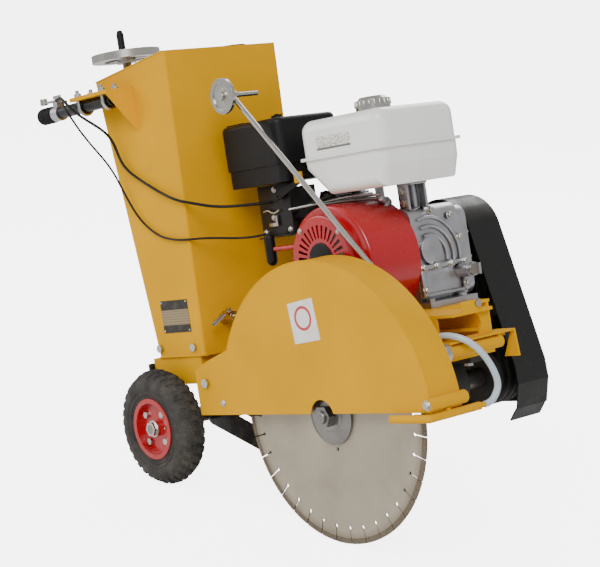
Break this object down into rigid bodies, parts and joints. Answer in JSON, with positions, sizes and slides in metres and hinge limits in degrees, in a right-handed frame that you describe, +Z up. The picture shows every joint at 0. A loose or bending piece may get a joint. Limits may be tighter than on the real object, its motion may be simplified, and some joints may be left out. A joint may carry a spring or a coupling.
{
  "type": "walk-behind concrete saw",
  "caption": "Petrol-engined walk-behind floor saw with a guarded diamond blade, water tank, handwheel depth control and wheels",
  "frame": {"origin": "on the floor under the middle of the machine's bounding box", "axes": "+X forwards in the direction of cutting, +Y to the operator's left, +Z up"},
  "size_m": [1.2107, 0.5641, 0.925],
  "materials": {
    "yellow_paint": "gloss",
    "black_paint": "satin",
    "red_paint": "gloss",
    "steel": "satin",
    "plated_steel": "polished",
    "blade_steel": "satin",
    "diamond_segment": "matt",
    "cast_aluminium": "cast",
    "cast_iron": "cast",
    "tyre_rubber": "matt",
    "rubber": "matt",
    "black_plastic": "matt",
    "white_paint": "gloss",
    "brass": "satin",
    "clear_hose": "gloss",
    "plate_metal": "satin"
  },
  "bodies": {
    "chassis": {"main_frame": "yellow_paint", "engine_deck": "yellow_paint", "water_tank": "yellow_paint", "rating_plate": "plate_metal", "valve_body": "brass", "water_hose": "clear_hose", "rear_axle": "steel", "axle_nuts": "plated_steel", "handlebar_right": "black_paint", "handlebar_left": "black_paint", "grip_right": "rubber", "grip_left": "rubber", "handle_u_bolts": "plated_steel", "throttle_clamp": "cast_aluminium", "throttle_cable": "black_plastic", "belt_guard": "black_paint", "drive_belts": "rubber", "bearing_blocks": "cast_iron", "chassis_bolts": "plated_steel", "crankcase": "cast_aluminium", "crankcase_cover": "cast_aluminium", "cylinder_head": "cast_aluminium", "blower_housing": "red_paint", "recoil_cover": "red_paint", "fuel_tank": "white_paint", "air_cleaner": "black_plastic", "muffler": "black_paint", "carburetor": "black_paint", "spark_plug_cap": "rubber"},
    "tank_cap_unit": {"tank_cap": "black_plastic"},
    "valve_lever_unit": {"valve_lever": "plated_steel"},
    "throttle_lever_unit": {"throttle_lever": "plated_steel"},
    "depth_wheel": {"handwheel": "plated_steel", "depth_screw": "plated_steel"},
    "wheel_knob": {"handwheel_knob": "black_plastic"},
    "lowering_arm": {"front_arm": "black_paint"},
    "front_right_wheel": {"front_wheel_right": "rubber"},
    "front_left_wheel": {"front_wheel_left": "rubber"},
    "rear_right_wheel": {"rear_tyre_right": "tyre_rubber", "rear_rim_right": "red_paint", "rim_bolts_right": "plated_steel"},
    "rear_left_wheel": {"rear_tyre_left": "tyre_rubber", "rear_rim_left": "red_paint", "rim_bolts_left": "plated_steel"},
    "blade_unit": {"saw_blade": "blade_steel", "blade_segments": "diamond_segment", "blade_shaft": "steel", "outer_flange": "steel", "arbor_nut": "steel", "arbor_pulley": "cast_iron"},
    "crank_unit": {"crankshaft": "steel", "engine_pulley": "cast_iron"},
    "guard_unit": {"blade_guard": "yellow_paint", "spray_pipe": "yellow_paint"},
    "fuel_cap_unit": {"fuel_cap": "plated_steel"},
    "choke_unit": {"choke_lever": "black_plastic"},
    "dipstick_unit": {"oil_dipstick": "plated_steel"},
    "recoil_unit": {"recoil_grip": "black_plastic"},
    "pointer_unit": {"pointer_rod": "plated_steel"},
    "disc_unit": {"guide_disc": "plated_steel"}
  },
  "joints": [
    {"name": "rear_wheel_right_spin", "type": "hinge", "parent": "chassis", "child": "rear_right_wheel", "pos_m": [-0.19086, -0.237, 0.12198], "axis": [0, 1, 0], "continuous": true},
    {"name": "rear_wheel_left_spin", "type": "hinge", "parent": "chassis", "child": "rear_left_wheel", "pos_m": [-0.19086, 0.137, 0.12198], "axis": [0, 1, 0], "continuous": true},
    {"name": "depth_wheel_turn", "type": "hinge", "parent": "chassis", "child": "depth_wheel", "pos_m": [-0.53152, -0.07, 0.86373], "axis": [-0.2287, 0, 0.9735], "range_deg": [0, 2160]},
    {"name": "front_arm_swing", "type": "hinge", "parent": "chassis", "child": "lowering_arm", "pos_m": [-0.19086, -0.05, 0.12198], "axis": [0, -1, 0], "range_deg": [0, 16]},
    {"name": "front_wheel_right_spin", "type": "hinge", "parent": "lowering_arm", "child": "front_right_wheel", "pos_m": [0.20758, -0.124, 0.07002], "axis": [0, 1, 0], "continuous": true},
    {"name": "front_wheel_left_spin", "type": "hinge", "parent": "lowering_arm", "child": "front_left_wheel", "pos_m": [0.20758, 0.024, 0.07002], "axis": [0, 1, 0], "continuous": true},
    {"name": "wheel_knob_spin", "type": "hinge", "parent": "depth_wheel", "child": "wheel_knob", "pos_m": [-0.4936, -0.11, 0.90346], "axis": [-0.2287, 0, 0.9735], "continuous": true},
    {"name": "guard_lift", "type": "hinge", "parent": "chassis", "child": "guard_unit", "pos_m": [-0.055, -0.189, 0.24327], "axis": [0, -1, 0], "range_deg": [0, 35], "deforming": ["water_hose"]},
    {"name": "blade_spin", "type": "hinge", "parent": "chassis", "child": "blade_unit", "pos_m": [0.2983, -0.199, 0.2523], "axis": [0, 1, 0], "continuous": true},
    {"name": "crank_spin", "type": "hinge", "parent": "chassis", "child": "crank_unit", "pos_m": [0.18623, 0.101, 0.52387], "axis": [0, 1, 0], "continuous": true},
    {"name": "valve_turn", "type": "hinge", "parent": "chassis", "child": "valve_lever_unit", "pos_m": [-0.0802, -0.137, 0.36369], "axis": [-0.2045, -0.4473, 0.8707], "range_deg": [0, 90]},
    {"name": "throttle_turn", "type": "hinge", "parent": "chassis", "child": "throttle_lever_unit", "pos_m": [-0.54999, -0.241, 0.77619], "axis": [-0.2287, 0, 0.9735], "range_deg": [0, 60]},
    {"name": "choke_turn", "type": "hinge", "parent": "chassis", "child": "choke_unit", "pos_m": [0.01614, -0.097, 0.62259], "axis": [0, 1, 0], "range_deg": [0, 30]},
    {"name": "fuel_cap_turn", "type": "hinge", "parent": "chassis", "child": "fuel_cap_unit", "pos_m": [0.2038, -0.014, 0.82075], "axis": [-0.2287, 0, 0.9735], "range_deg": [0, 90]},
    {"name": "tank_cap_turn", "type": "hinge", "parent": "chassis", "child": "tank_cap_unit", "pos_m": [-0.30316, 0.041, 0.88862], "axis": [-0.2287, 0, 0.9735], "range_deg": [0, 360]},
    {"name": "dipstick_turn", "type": "hinge", "parent": "chassis", "child": "dipstick_unit", "pos_m": [0.34666, 0.129, 0.49684], "axis": [0.9735, 0, 0.2287], "range_deg": [0, 720]},
    {"name": "recoil_pull", "type": "slide", "parent": "chassis", "child": "recoil_unit", "axis": [0, -1, 0], "range_m": [0, 0.5]},
    {"name": "pointer_fold", "type": "hinge", "parent": "chassis", "child": "pointer_unit", "pos_m": [0.53095, -0.1425, 0.40762], "axis": [0, 1, 0], "range_deg": [0, 160]},
    {"name": "guide_disc_spin", "type": "hinge", "parent": "pointer_unit", "child": "disc_unit", "pos_m": [-0.07076, -0.165, 0.822], "axis": [0, 1, 0], "continuous": true}
  ],
  "couplings": [
    {"joint": "crank_spin", "follows": "blade_spin", "ratio": 1.2},
    {"joint": "depth_wheel_turn", "follows": "front_arm_swing", "ratio": 134.9}
  ]
}
